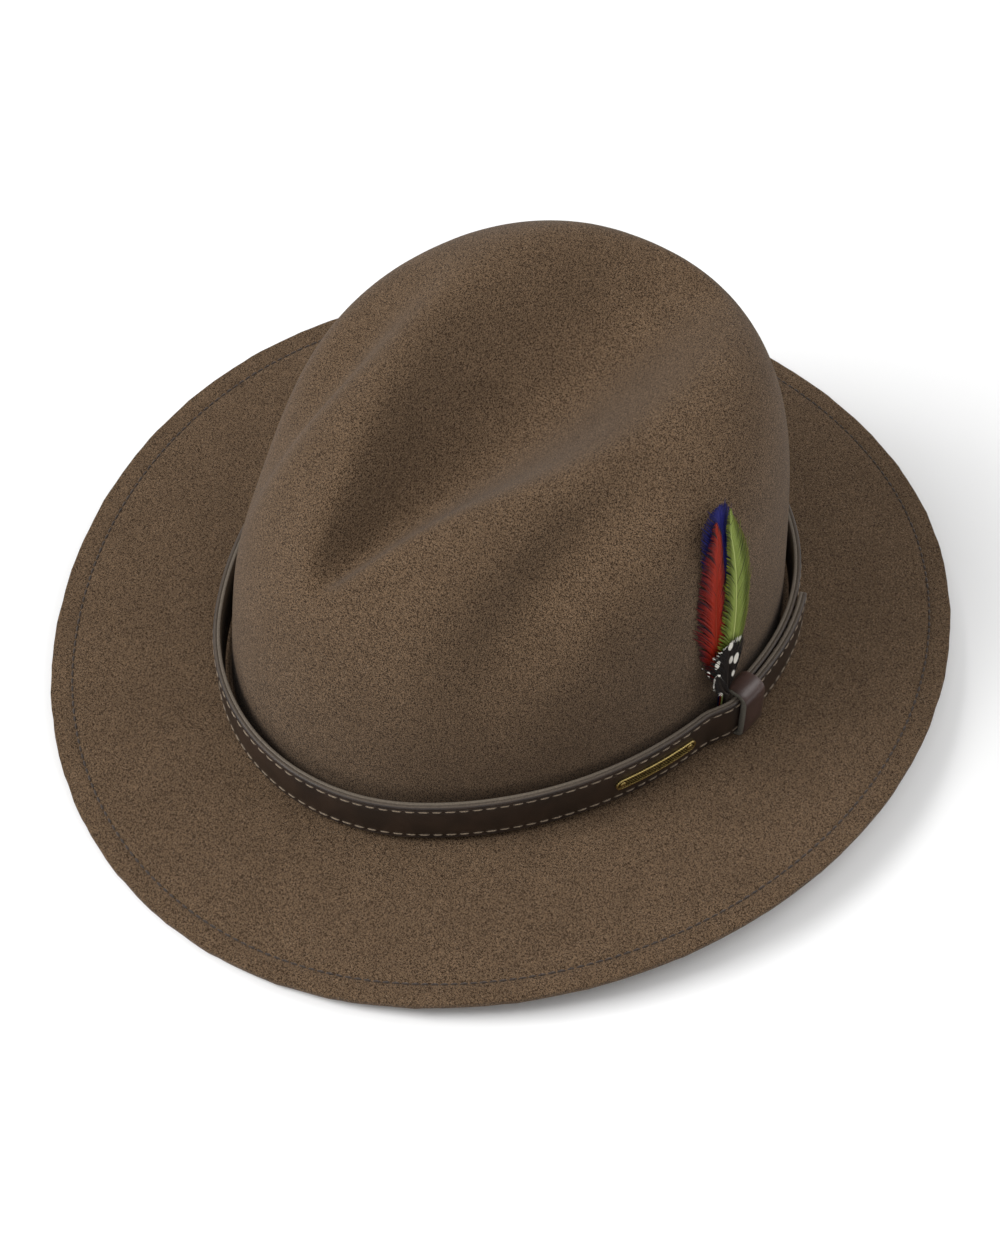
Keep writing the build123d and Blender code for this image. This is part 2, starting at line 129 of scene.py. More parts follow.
# ---- node graphs ------------------------------------------------------------------------
class Term:
    """One output of a node, with arithmetic that adds Math nodes."""

    def __init__(self, graph, socket):
        self.graph = graph
        self.socket = socket

    def math(self, operation, *values):
        return self.graph.node("ShaderNodeMath", {"operation": operation}, values)

    def __add__(self, other):
        return self.math("ADD", self, other)

    def __sub__(self, other):
        return self.math("SUBTRACT", self, other)

    def __rsub__(self, other):
        return self.math("SUBTRACT", other, self)

    def __mul__(self, other):
        return self.math("MULTIPLY", self, other)

    def __truediv__(self, other):
        return self.math("DIVIDE", self, other)

    __radd__ = __add__
    __rmul__ = __mul__

    def also(self, name):
        """Another output of the same node."""
        return Term(self.graph, self.socket.node.outputs[name])

    def step(self, low, high):
        """0 below `low`, 1 above `high`, smooth between."""
        return self.graph.node(
            "ShaderNodeMapRange", {"interpolation_type": "SMOOTHSTEP"}, (self, low, high)
        )


class Graph:
    """A node tree that is filled by one method."""

    def __init__(self, tree):
        self.tree = tree
        tree.nodes.clear()

    def node(self, kind, settings=None, values=(), out=0):
        made = self.tree.nodes.new(kind)
        for key, value in (settings or {}).items():
            setattr(made, key, value)
        pairs = values.items() if isinstance(values, dict) else enumerate(values)
        for key, value in pairs:
            if isinstance(value, Term):
                self.tree.links.new(value.socket, made.inputs[key])
            else:
                made.inputs[key].default_value = value
        return Term(self, made.outputs[out]) if len(made.outputs) else made


def dye(red, green, blue):
    """A colour on the 0 to 255 scale of a swatch book, as the shader wants it."""
    parts = [value / 255 for value in (red, green, blue)]
    return tuple(p / 12.92 if p < 0.04045 else ((p + 0.055) / 1.055) ** 2.4 for p in parts) + (1.0,)


class Finish(Graph):
    """A material: one Principled shader whose fixed numbers sit on its own sockets."""

    def __init__(self, name, **fixed):
        self.material = bpy.data.materials.new(name)
        self.material.use_nodes = True
        super().__init__(self.material.node_tree)
        self.place = self.node("ShaderNodeTexCoord", out="Object")
        names = {key.replace("_", " ").title().replace("Ior", "IOR"): value for key, value in fixed.items()}
        self.shader = self.node("ShaderNodeBsdfPrincipled", values=names)
        self.node("ShaderNodeOutputMaterial", values=[self.shader])

    def feed(self, name, term):
        self.tree.links.new(term.socket, self.shader.socket.node.inputs[name])

    def noise(self, scale, detail=2.0, roughness=0.5, place=None):
        return self.node(
            "ShaderNodeTexNoise",
            values={
                "Vector": place or self.place, "Scale": scale, "Detail": detail, "Roughness": roughness
            },
        )

    def turned(self, scale, turn=(0.0, 0.0, 0.0), place=None):
        """Object coordinates scaled unevenly and turned, for fibres that run one way."""
        return self.node(
            "ShaderNodeMapping", values={"Vector": place or self.place, "Rotation": turn, "Scale": scale}
        )

    def attribute(self, name, out="Fac"):
        return self.node("ShaderNodeAttribute", {"attribute_name": name}, out=out)

    def blend(self, share, first, second, how="MIX"):
        return self.node(
            "ShaderNodeMix",
            {"data_type": "RGBA", "blend_type": how, "clamp_factor": True},
            {0: share, 6: first, 7: second},
            out=2,
        )

    def bump(self, height, distance, strength=1.0):
        self.feed(
            "Normal",
            self.node(
                "ShaderNodeBump", values={"Height": height, "Strength": strength, "Distance": distance},
                out="Normal",
            ),
        )


class Pattern(Graph):
    """A Geometry Nodes tree with named inputs."""

    def __init__(self, name, **inputs):
        tree = bpy.data.node_groups.new(name, "GeometryNodeTree")
        super().__init__(tree)
        tree.interface.new_socket("Geometry", in_out="INPUT", socket_type="NodeSocketGeometry")
        for key, kind in inputs.items():
            tree.interface.new_socket(key, in_out="INPUT", socket_type="NodeSocket" + kind)
        tree.interface.new_socket("Geometry", in_out="OUTPUT", socket_type="NodeSocketGeometry")
        self.given = self.node("NodeGroupInput")

    def __getitem__(self, name):
        return self.given.also(name)

    def named(self, name, kind="FLOAT"):
        return self.node("GeometryNodeInputNamedAttribute", {"data_type": kind}, {"Name": name})

    def chance(self, low, high, salt):
        return self.node(
            "FunctionNodeRandomValue", {"data_type": "FLOAT"}, {2: low, 3: high, 8: self["seed"] + salt},
            out=1,
        )

    def end(self, shape):
        whole = self.node("GeometryNodeRealizeInstances", values=[shape])
        dressed = self.node(
            "GeometryNodeSetMaterial", values={"Geometry": whole, "Material": self["finish"]}
        )
        self.node("NodeGroupOutput", values=[dressed])
        return self


def grown(source, pattern, name, **values):
    """Runs a pattern on a source mesh and keeps its result as a plain mesh object."""
    holder = bpy.data.objects.new(name + "_source", source)
    bpy.context.scene.collection.objects.link(holder)
    modifier = holder.modifiers.new("pattern", "NODES")
    modifier.node_group = pattern.tree
    for item in pattern.tree.interface.items_tree:
        if item.in_out == "INPUT" and item.name in values:
            modifier[item.identifier] = values[item.name]
    bpy.context.view_layer.update()
    made = bpy.data.meshes.new_from_object(holder.evaluated_get(bpy.context.evaluated_depsgraph_get()))
    bpy.data.objects.remove(holder)
    return made


# ---- mesh work --------------------------------------------------------------------------
def smooth(value):
    value = np.clip(value, 0, 1)
    return value * value * (3 - 2 * value)


def lift(x, y):
    """Height of the brim's saddle over its middle."""
    return x**2 / (2 * side_bend) - y**2 / (2 * end_bend)


class Oval:
    """Four tangent arcs: a nose, a back and two sides, walked by their outward direction."""

    def __init__(self, length, width, widest, nose):
        run = widest + length / 2 - nose
        self.side = (run**2 + width**2 / 4 - nose**2) / (width - 2 * nose)
        rest = length / 2 - widest
        lead = self.side - width / 2
        self.back = (self.side**2 - lead**2 - rest**2) / (2 * (self.side - rest))
        self.nose = nose
        self.nose_y = nose - length / 2
        self.back_y = length / 2 - self.back
        self.side_x = -lead
        self.side_y = widest
        self.nose_turn = atan2(self.side_y - self.nose_y, lead)
        self.back_turn = atan2(self.back_y - self.side_y, lead)

    def spot(self, turn, grow=0.0):
        """The point `grow` outside the outline that faces `turn` (radians from the wearer's left)."""
        turn = (np.asarray(turn, float) + pi / 2) % (2 * pi) - pi / 2
        left = (turn >= -self.nose_turn) & (turn <= self.back_turn)
        right = (turn >= pi - self.back_turn) & (turn <= pi + self.nose_turn)
        back = (turn > self.back_turn) & (turn < pi - self.back_turn)
        x = np.select([left, right], [self.side_x, -self.side_x], 0.0)
        y = np.select([left | right, back], [self.side_y, self.back_y], self.nose_y)
        reach = np.select([left | right, back], [self.side, self.back], self.nose) + grow
        return x + reach * np.cos(turn), y + reach * np.sin(turn)


head = Oval(208.0, 176.0, 6.0, 72.0)
brim = Oval(2 * brim_half_length, 2 * brim_half_width, 0.0, 140.0)


def join_rows(rows, columns, ring=True, loop=False, start=0):
    """Four-sided faces between rows of points that are stored one after another."""
    faces = []
    for row in range(rows if loop else rows - 1):
        low = start + row * columns
        high = start + (row + 1) % rows * columns
        for column in range(columns if ring else columns - 1):
            after = (column + 1) % columns
            faces.append((low + column, low + after, high + after, high + column))
    return faces


def fan(tip, row_start, columns):
    return [(tip, row_start + (column + 1) % columns, row_start + column) for column in range(columns)]


def new_mesh(name, points, faces, marks=None, doubles=0.0):
    """A mesh from points in millimetres, with faces turned outwards."""
    mesh = bpy.data.meshes.new(name)
    mesh.from_pydata((np.asarray(points, float).reshape(-1, 3) * MM).tolist(), [], faces)
    for key, values in (marks or {}).items():
        layer = mesh.attributes.new(key, "FLOAT", "POINT")
        layer.data.foreach_set("value", np.asarray(values, np.float32).ravel())
    work = bmesh.new()
    work.from_mesh(mesh)
    if doubles:
        bmesh.ops.remove_doubles(work, verts=work.verts, dist=doubles * MM)
    bmesh.ops.recalc_face_normals(work, faces=work.faces)
    work.to_mesh(mesh)
    work.free()
    mesh.polygons.foreach_set("use_smooth", [True] * len(mesh.polygons))
    mesh.update()
    return mesh


def piece(name, mesh, body, nodes, finish=None):
    """Puts a finished mesh on its body, in place of its CAD nodes."""
    thing = bpy.data.objects.new(name, mesh)
    bpy.context.scene.collection.objects.link(thing)
    if finish:
        mesh.materials.clear()
        mesh.materials.append(finish.material)
    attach(thing, body)
    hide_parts(*nodes)
    return thing


def sweep(turns, rises, section):
    """Points of a section (out, up) carried round the crown, `rises` further out at each turn."""
    rows = []
    for turn, rise in zip(turns, rises):
        x, y = head.spot(turn, section[:, 0] + rise)
        rows.append(np.stack([x, y, brim_top + lift(x, y) + section[:, 1]], axis=1))
    return np.array(rows)


# ---- finishes ---------------------------------------------------------------------------
def felt_finish():
    """Heathered wool felt: pale and dark fibres matted together."""
    felt = Finish(
        "wool_felt", roughness=0.95, sheen_weight=0.06, sheen_roughness=0.5, specular_ior_level=0.12
    )
    cloud = felt.noise(70.0, 3.0)
    fleck = felt.noise(1900.0, 2.0, 0.6)
    speck = felt.noise(3900.0, 2.0, 0.6)
    along = felt.noise(1.0, 1.0, 0.5, felt.turned((4400.0, 1100.0, 3000.0), (0.0, 0.0, 0.5)))
    across = felt.noise(1.0, 1.0, 0.5, felt.turned((1100.0, 4400.0, 3000.0), (0.3, 0.0, -0.3)))
    upward = felt.noise(1.0, 1.0, 0.5, felt.turned((4000.0, 4000.0, 1100.0), (0.4, 0.3, 0.0)))
    matted = fleck * 0.2 + speck * 0.29 + along * 0.17 + across * 0.17 + upward * 0.17
    heather = felt.blend(matted.step(0.43, 0.57), dye(31, 19, 9), dye(119, 97, 75))
    pale = felt.noise(1.0, 1.0, 0.5, felt.turned((1500.0, 5000.0, 3600.0), (0.2, 0.5, 0.9)))
    pale = pale.step(0.62, 0.74)
    heather = felt.blend(pale * 0.6, heather, dye(156, 136, 114))
    felt.feed("Base Color", felt.blend(cloud.step(0.3, 0.7) * 0.14, heather, dye(54, 40, 27)))
    felt.bump(matted + pale * 0.15, 0.0006, 0.7)
    return felt


def hide(name, dark, light, raw, roughness, grain):
    """Leather with fine pores; where `edge` is 1 its cut side shows raw fibres."""
    leather = Finish(name, specular_ior_level=0.5, coat_weight=0.12, coat_roughness=0.3)
    edge = leather.attribute("edge")
    pores = leather.noise(grain, 3.0, 0.6)
    cloud = leather.noise(90.0, 2.0)
    fibres = leather.noise(1900.0, 3.0, 0.7)
    face = leather.blend(cloud.step(0.3, 0.7), dark, light)
    side = leather.blend(fibres.step(0.3, 0.7), tuple(0.62 * part for part in raw[:3]) + (1.0,), raw)
    cut = edge.step(0.35, 0.75)
    leather.feed("Base Color", leather.blend(cut, face, side))
    leather.feed("Roughness", (1 - cut) * (pores * 0.16 + (roughness - 0.08)) + cut * 0.92)
    leather.bump(pores * (1 - cut) + fibres * cut * 3, 0.00012, 0.6)
    return leather


def thread_finish(name, dark, light):
    thread = Finish(name, roughness=0.7, sheen_weight=0.2)
    strand = thread.noise(3000.0, 2.0, 0.6)
    thread.feed("Base Color", thread.blend(strand.step(0.3, 0.7), dark, light))
    thread.bump(strand, 0.00006)
    return thread


def plate_finish():
    """Aged brass: bright where it is rubbed, dark in the sunk field with slanting ribs."""
    brass = Finish("aged_brass", metallic=1.0)
    rub = brass.attribute("rub")
    wear = brass.noise(900.0, 4.0, 0.65)
    ribs = brass.node(
        "ShaderNodeTexWave",
        {"wave_type": "BANDS", "bands_direction": "X"},
        {
            "Vector": brass.turned((1.0, 1.0, 1.0), (0.0, 0.0, 0.0), brass.attribute("run", "Vector")),
            "Scale": 0.34, "Distortion": 0.3,
        },
        out="Fac",
    )
    bright = (rub * 0.8 + wear * 0.4).step(0.45, 0.85)
    field = brass.blend(ribs * (wear.step(0.35, 0.6)), dye(74, 62, 34), dye(160, 140, 84))
    brass.feed("Base Color", brass.blend(bright, field, dye(186, 164, 104)))
    brass.feed("Roughness", 0.55 - bright * 0.27 + wear * 0.1)
    brass.bump(ribs * (1 - rub) * 2 + wear * 0.3, 0.0002, 0.8)
    return brass


def vane_finish(name, centre, vane, tips, streak, rachis, spots=0.0):
    """Feather colours by `across` (0 at the shaft, 1 at a barb's tip), `along` and each barb's `shade`."""
    vanes = Finish(name, roughness=0.6, specular_ior_level=0.2)
    across = vanes.attribute("across")
    along = vanes.attribute("along")
    shade = vanes.attribute("shade")
    colour = vanes.blend(across.step(0.1, 0.75), centre, vane)
    colour = vanes.blend((across + shade * 0.3).step(0.8, 1.15), colour, tips)
    colour = vanes.blend((shade + across * 0.3).step(0.72, 0.92), colour, streak)
    if spots:
        flat = vanes.attribute("flat", "Vector")
        dots = vanes.node(
            "ShaderNodeTexVoronoi",
            {"feature": "F1"},
            {
                "Vector": vanes.turned((1.0, 0.62, 1.0), (0.0, 0.0, 0.35), flat), "Scale": spots,
                "Randomness": 0.6,
            },
            out="Distance",
        )
        colour = vanes.blend(1 - dots.step(0.3, 0.36), colour, dye(232, 228, 218))
        fringe = across.step(0.84, 0.9) * along.step(0.35, 0.5) * shade.step(0.42, 0.5)
        colour = vanes.blend(fringe, colour, dye(228, 224, 214))
    vanes.feed("Base Color", vanes.blend(1 - across.step(-0.6, -0.4), colour, rachis))
    vanes.bump(vanes.noise(2500.0, 2.0), 0.00005)
    return vanes


def ribbon_finish(name, dark, light):
    """Grosgrain: fine ribs across the ribbon."""
    cloth = Finish(name, roughness=0.75, sheen_weight=0.2)
    ribs = cloth.node(
        "ShaderNodeTexWave", {"bands_direction": "Z"},
        {"Vector": cloth.place, "Scale": 320.0, "Distortion": 0.4}, out="Fac",
    )
    cloth.feed("Base Color", cloth.blend(ribs, dark, light))
    cloth.bump(ribs + cloth.noise(2500.0) * 0.5, 0.0001)
    return cloth


felt = felt_finish()
strap_leather = hide("strap_leather", dye(34, 25, 20), dye(50, 37, 29), dye(92, 81, 70), 0.42, 2200.0)
suede = hide("suede_lining", dye(66, 57, 48), dye(88, 78, 67), dye(112, 101, 88), 0.9, 1500.0)
keeper_leather = hide("keeper_leather", dye(58, 42, 38), dye(76, 57, 52), dye(124, 119, 108), 0.36, 1500.0)
lining_leather = hide("lining_leather", dye(84, 56, 38), dye(104, 72, 49), dye(140, 112, 88), 0.5, 1700.0)
brim_cotton = thread_finish("brim_cotton", dye(38, 29, 23), dye(66, 52, 42))
beige_cotton = thread_finish("beige_cotton", dye(96, 82, 66), dye(146, 128, 106))
tan_cotton = thread_finish("tan_cotton", dye(110, 90, 66), dye(150, 126, 96))
waxed_thread = thread_finish("waxed_thread", dye(20, 17, 15), dye(44, 38, 33))
brass = plate_finish()
reed_finish = thread_finish("reed_plastic", dye(50, 37, 28), dye(70, 54, 42))
grosgrain = ribbon_finish("grosgrain", dye(44, 31, 24), dye(74, 54, 42))
tag_cloth = ribbon_finish("tag_cloth", dye(186, 180, 166), dye(214, 209, 196))
steel = Finish("staple_steel", metallic=1.0, roughness=0.35, base_color=dye(190, 190, 192))
steel.bump(steel.noise(1800.0), 0.00005)


# ---- felt body --------------------------------------------------------------------------
columns = 240
turns = np.arange(columns) * 2 * pi / columns - pi / 2


def crown_surface(climbs):
    """The blocked crown: straight sides, a teardrop dent and a pinch on each side of its front."""
    turn, climb = np.meshgrid(turns, climbs)
    front = smooth((0.2 - np.sin(turn)) / 1.2)
    power = back_round * (1 - front) + front_round * front
    bend = (1 - climb) * pi / 2
    reach = (np.sin(bend) ** power + np.cos(bend) ** power) ** (-1 / power)
    out = np.sin(bend) * reach
    share = np.cos(bend) * reach
    x, y = head.spot(turn)
    x = x * out * (1 - side_lean * share)
    y = y * out * (1 - (front_lean * front + back_lean * (1 - front)) * share)
    z = share * crown_height * (1 + crown_slope * y / 104.0 * share)
    x, z = pressed(x, y, z, share)
    ease = 1 - smooth(share / 0.5)
    return np.stack([x, y, brim_top + z + lift(x, y) * ease], axis=2)


def pressed(x, y, z, share):
    """Presses the dent and the two pinches into the block."""
    run = (y - dent_middle) / dent_length
    power = np.where(run < 0, 2.0, dent_back_round)
    inside = np.clip(np.abs(run), 0, 1)
    mouth = (1 - inside**power) ** (1 / power)
    half = dent_half_width * mouth * (dent_nose_share + (1 - dent_nose_share) * smooth((run + 1) / 1.3))
    side = np.abs(x) / np.maximum(half, 0.001)
    dent = dent_depth * (1 - smooth(side / dent_slope)) * (1 - inside**2) ** 0.6
    high = smooth((z - 35) / 50)
    top = smooth((share - 0.5) / 0.4)
    for hand in (1, -1):
        near = ((x - hand * pinch_side) / pinch_across) ** 2 + ((y + pinch_ahead) / pinch_along) ** 2
        push = pinch_depth * np.exp(-near) * high
        x = x - hand * push * pinch_in
        z = z - push * pinch_down
    return x, z - dent * top


def relaxed(grid, rounds):
    """Rounds off creases: each point moves towards its neighbours, as damp felt does."""
    for _ in range(rounds):
        middle = grid[1:-1]
        around = (np.roll(middle, 1, axis=1) + np.roll(middle, -1, axis=1) + grid[2:] + grid[:-2]) / 4
        weight = smooth((middle[:, :, 2:] - brim_top - 32) / 25) * 0.5
        grid[1:-1] = middle + (around - middle) * weight
    return grid


def outer_felt():
    """Rows of the felt's outer face, from the brim's edge to the middle of the dent."""
    rows = []
    for inset in rim_insets:
        x, y = brim.spot(turns, -inset)
        rows.append(np.stack([x, y, brim_top + lift(x, y)], axis=1))
    far_x, far_y = brim.spot(turns, -rim_insets[-1])
    near_x, near_y = head.spot(turns, break_radius)
    for share in np.linspace(0, 1, 18)[1:]:
        x = far_x + (near_x - far_x) * share
        y = far_y + (near_y - far_y) * share
        rows.append(np.stack([x, y, brim_top + lift(x, y)], axis=1))
    for angle in np.radians((20, 40, 60, 80)):
        x, y = head.spot(turns, break_radius * (1 - sin(angle)))
        rows.append(np.stack([x, y, brim_top + lift(x, y) + break_radius * (1 - cos(angle))], axis=1))
    crown = relaxed(crown_surface(np.linspace(0.02, 0.995, crown_rows)), damp_rounds)
    return np.concatenate([np.array(rows), crown])


def outward(grid):
    """Unit normals of a grid of points, pointing out of the hat."""
    across = np.roll(grid, -1, axis=1) - np.roll(grid, 1, axis=1)
    along = np.gradient(grid, axis=0)
    normal = np.cross(across, along)
    return normal / np.maximum(np.linalg.norm(normal, axis=2, keepdims=True), 1e-9)


felt_rows = outer_felt()
felt_normals = outward(felt_rows)
wall_rows = felt_rows[30:90]
wall_heights = wall_rows[:, :, 2] - brim_top - lift(wall_rows[:, :, 0], wall_rows[:, :, 1])


def crown_spot(turn, height, inset):
    """The point `inset` inside the crown's outer face at a height above the brim."""
    column = ((turn + pi / 2) / (2 * pi) * columns) % columns
    first = int(column) % columns
    second = (first + 1) % columns
    share = column - int(column)
    spots = []
    for index in (first, second):
        spots.append(
            [np.interp(height, wall_heights[:, index], wall_rows[:, index, axis]) for axis in (0, 1)]
        )
    x = spots[0][0] * (1 - share) + spots[1][0] * share - inset * cos(turn)
    y = spots[0][1] * (1 - share) + spots[1][1] * share - inset * sin(turn)
    return x, y, brim_top + lift(x, y) + height


def make_felt():
    """Crown and brim, one closed shell with a cut edge and a drawn-down stitch line."""
    groove = groove_depth * np.exp(-(((rim_insets - brim_stitch_inset) / groove_width) ** 2))
    outer = felt_rows.copy()
    inner = felt_rows - felt_normals * felt_thickness
    outer[: len(groove), :, 2] -= groove[:, None]
    inner[: len(groove), :, 2] += groove[:, None]
    wobble = 0.10 * np.sin(turns * 37) + 0.08 * np.sin(turns * 61 + 1) + 0.07 * np.sin(turns * 101 + 2)
    edge = []
    for inset, drop in ((0.08, 0.22), (0.0, 0.7), (0.0, 1.2), (0.0, 1.7), (0.08, 2.18)):
        x, y = brim.spot(turns, wobble - inset)
        edge.append(np.stack([x, y, brim_top + lift(x, y) - drop], axis=1))
    shell = np.concatenate([outer[::-1], np.array(edge), inner])
    faces = join_rows(len(shell), columns)
    points = shell.reshape(-1, 3)
    poles = np.array([outer[-1].mean(axis=0), inner[-1].mean(axis=0)])
    faces += fan(len(points), 0, columns)
    faces += fan(len(points) + 1, len(points) - columns, columns)
    return new_mesh("blocked_felt", np.concatenate([points, poles]), faces)


piece("blocked_felt", make_felt(), "hat", ["felt_body"], felt)


# ---- stitches ---------------------------------------------------------------------------
def stitch_shape(name, length, width):
    """One stitch of two-ply thread, its ends drawn down into the work."""
    rings = 6
    sides = 6
    points = []
    for ring in range(rings):
        share = ring / (rings - 1) * 2 - 1
        thick = width / 2 * (1 - abs(share) ** 4) ** 0.5 + 0.03
        for side in range(sides):
            angle = side * 2 * pi / sides
            ply = 1 + 0.16 * cos(2 * angle + share * 5)
            points.append(
                (share * length / 2, thick * ply * cos(angle), thick * ply * sin(angle) - 0.22 * share**2)
            )
    faces = join_rows(rings, sides)
    faces.append(tuple(range(sides)))
    faces.append(tuple(range((rings - 1) * sides, rings * sides)))
    shape = bpy.data.objects.new(name, new_mesh(name, points, faces))
    return shape


def stitch_pattern():
    """Stitches set end to end along a line, square to the work."""
    row = Pattern("stitch_row", pitch="Float", seed="Int", stitch="Object", finish="Material")
    line = row.node("GeometryNodeMeshToCurve", values=[row["Geometry"]])
    spots = row.node(
        "GeometryNodeCurveToPoints", {"mode": "LENGTH"}, {"Curve": line, "Length": row["pitch"]}
    )
    facing = row.node("FunctionNodeAlignRotationToVector", {"axis": "X"}, {"Vector": spots.also("Tangent")})
    upright = row.node(
        "FunctionNodeAlignRotationToVector",
        {"axis": "Z", "pivot_axis": "X"},
        {"Rotation": facing, "Vector": row.named("out", "FLOAT_VECTOR")},
    )
    uneven = row.node(
        "ShaderNodeCombineXYZ",
        values=[row.chance(0.9, 1.06, 1), row.chance(0.88, 1.1, 2), row.chance(0.85, 1.1, 3)],
    )
    shape = row.node("GeometryNodeObjectInfo", values=[row["stitch"]], out="Geometry")
    placed = row.node(
        "GeometryNodeInstanceOnPoints",
        values={"Points": spots, "Instance": shape, "Rotation": upright, "Scale": uneven},
    )
    return row.end(placed)


def thread_line(name, points, outs, closed):
    """A line of edges in millimetres with the direction that faces out of the work."""
    mesh = bpy.data.meshes.new(name)
    count = len(points)
    edges = [(index, (index + 1) % count) for index in range(count if closed else count - 1)]
    mesh.from_pydata((np.asarray(points) * MM).tolist(), edges, [])
    layer = mesh.attributes.new("out", "FLOAT_VECTOR", "POINT")
    layer.data.foreach_set("vector", np.asarray(outs, np.float32).ravel())
    return mesh


stitch_row = stitch_pattern()


def finished(mesh):
    mesh.polygons.foreach_set("use_smooth", [True] * len(mesh.polygons))
    return mesh


def sewn(name, points, outs, closed, pitch, seed, stitch, thread):
    """A row of stitches along a line of points, `pitch` apart."""
    source = thread_line(name + "_line", points, outs, closed)
    whole = grown(
        source, stitch_row, name, pitch=pitch * MM, seed=seed, stitch=stitch, finish=thread.material
    )
    return finished(whole)


band_stitch = stitch_shape("band_stitch", 3.7, 0.5)
brim_stitch = stitch_shape("brim_stitch", 2.7, 0.6)
sweat_stitch_shape = stitch_shape("sweat_stitch", 3.0, 0.6)


def brim_row(side):
    """The points of the brim's stitch line on its upper or its under face."""
    steps = np.arange(720) * 2 * pi / 720
    x, y = brim.spot(steps, -brim_stitch_inset)
    height = brim_top + lift(x, y) + (-0.12 if side > 0 else 0.12 - felt_thickness)
    slope = np.stack([-x / side_bend, y / end_bend, np.ones_like(x)], axis=1) * side
    return np.stack([x, y, height], axis=1), slope


def make_brim_stitches():
    both = []
    for side in (1, -1):
        points, outs = brim_row(side)
        both.append(sewn("brim_row", points, outs, True, 3.1, 3, brim_stitch, brim_cotton))
    return merged("brim_stitches", both)


def merged(name, meshes):
    """Several meshes as one, with their attributes."""
    parts = []
    for mesh in meshes:
        part = bpy.data.objects.new(name, mesh)
        bpy.context.scene.collection.objects.link(part)
        parts.append(part)
    with bpy.context.temp_override(active_object=parts[0], selected_editable_objects=parts):
        bpy.ops.object.join()
    whole = parts[0].data
    bpy.data.objects.remove(parts[0])
    return finished(whole)


piece("brim_stitches", make_brim_stitches(), "hat", ["brim_stitching"])


# ---- hatband ----------------------------------------------------------------------------
def strap_walk(step=1.0):
    """Turns (radians) and outward rises along the strap, from its hidden start to its tail."""
    angles = np.concatenate(
        [
            np.arange(strap_start, ramp_start, step), np.arange(ramp_start, ramp_end, 0.4),
            np.arange(ramp_end, strap_end, step), [strap_end],
        ]
    )
    rises = lap_step * smooth((angles - ramp_start) / (ramp_end - ramp_start))
    return np.radians(angles), rises


def strap_section():
    """The outer ply: a raw top and bottom edge, a burnished bead, a crease and a sunk stitch line."""
    inner = band_gap + backing_thickness
    half = (
        (inner, 0.0, 1.0),
        (band_outside - 0.75, 0.0, 1.0),
        (band_outside - 0.45, 0.06, 0.6),
        (band_outside - 0.16, 0.26, 0.1),
        (band_outside - 0.02, 0.6, 0.0),
        (band_outside - 0.05, 0.95, 0.0),
        (band_outside - 0.26, 1.18, 0.0),
        (band_outside - 0.09, 1.42, 0.0),
        (band_outside - 0.02, 1.8, 0.0),
        (band_outside - 0.16, 2.2, 0.0),
        (band_outside - 0.02, 2.6, 0.0),
        (band_outside + 0.06, 4.0, 0.0),
        (band_outside + 0.14, 6.5, 0.0),
    )
    low = [(out, band_bottom + up, mark) for out, up, mark in half]
    high = [(out, band_top - up, mark) for out, up, mark in reversed(half)]
    back = [(inner, band_top - share * (band_top - band_bottom), 0.0) for share in (0.25, 0.5, 0.75)]
    return np.array(low + high + back)


def lining_section():
    """The inner ply, soft and square."""
    low, high = band_bottom, band_top
    left, right = band_gap, band_gap + backing_thickness
    rim = (
        (left, low + 0.15), (left + 0.15, low), (right, low), (right, (low + high) / 2), (right, high),
        (left + 0.25, high - 0.02), (left, high - 0.25), (left, (low + high) / 2),
    )
    return np.array([(out, up, 1.0 if up > high - 1 or up < low + 1 else 0.0) for out, up in rim])


def make_strip(name, section):
    """A section carried along the strap's path, with its two ends closed."""
    walk, rises = strap_walk()
    rows = sweep(walk, rises, section[:, :2])
    count = len(section)
    faces = join_rows(len(rows), count)
    marks = np.tile(section[:, 2], len(rows))
    points = rows.reshape(-1, 3)
    faces.append(tuple(range(count)))
    faces.append(tuple(range(len(points) - count, len(points))))
    marks[:count] = 1.0
    marks[-count:] = 1.0
    return new_mesh(name, points, faces, {"edge": marks})


for name, section, node, slot, finish in (
    ("strap_face", strap_section(), "band_strap", "strap_leather", strap_leather),
    ("strap_lining", lining_section(), "band_backing", "suede", suede),
):
    piece(name, make_strip(name, section), "hatband", [node], finish)


def make_band_stitches(height):
    walk, rises = strap_walk(0.5)
    keep = slice(4, -3)
    x, y = head.spot(walk, band_outside + 0.02 + rises)
    points = np.stack([x, y, brim_top + lift(x, y) + height], axis=1)[keep]
    outs = np.stack([np.cos(walk), np.sin(walk), np.zeros_like(walk)], axis=1)[keep]
    return sewn("band_row", points, outs, False, 4.4, 5, band_stitch, beige_cotton)


for name, height in (("lower", band_bottom + band_stitch_inset), ("upper", band_top - band_stitch_inset)):
    row_mesh = make_band_stitches(height)
    piece(name + "_stitches", row_mesh, "hatband", ["band_stitching_" + name])


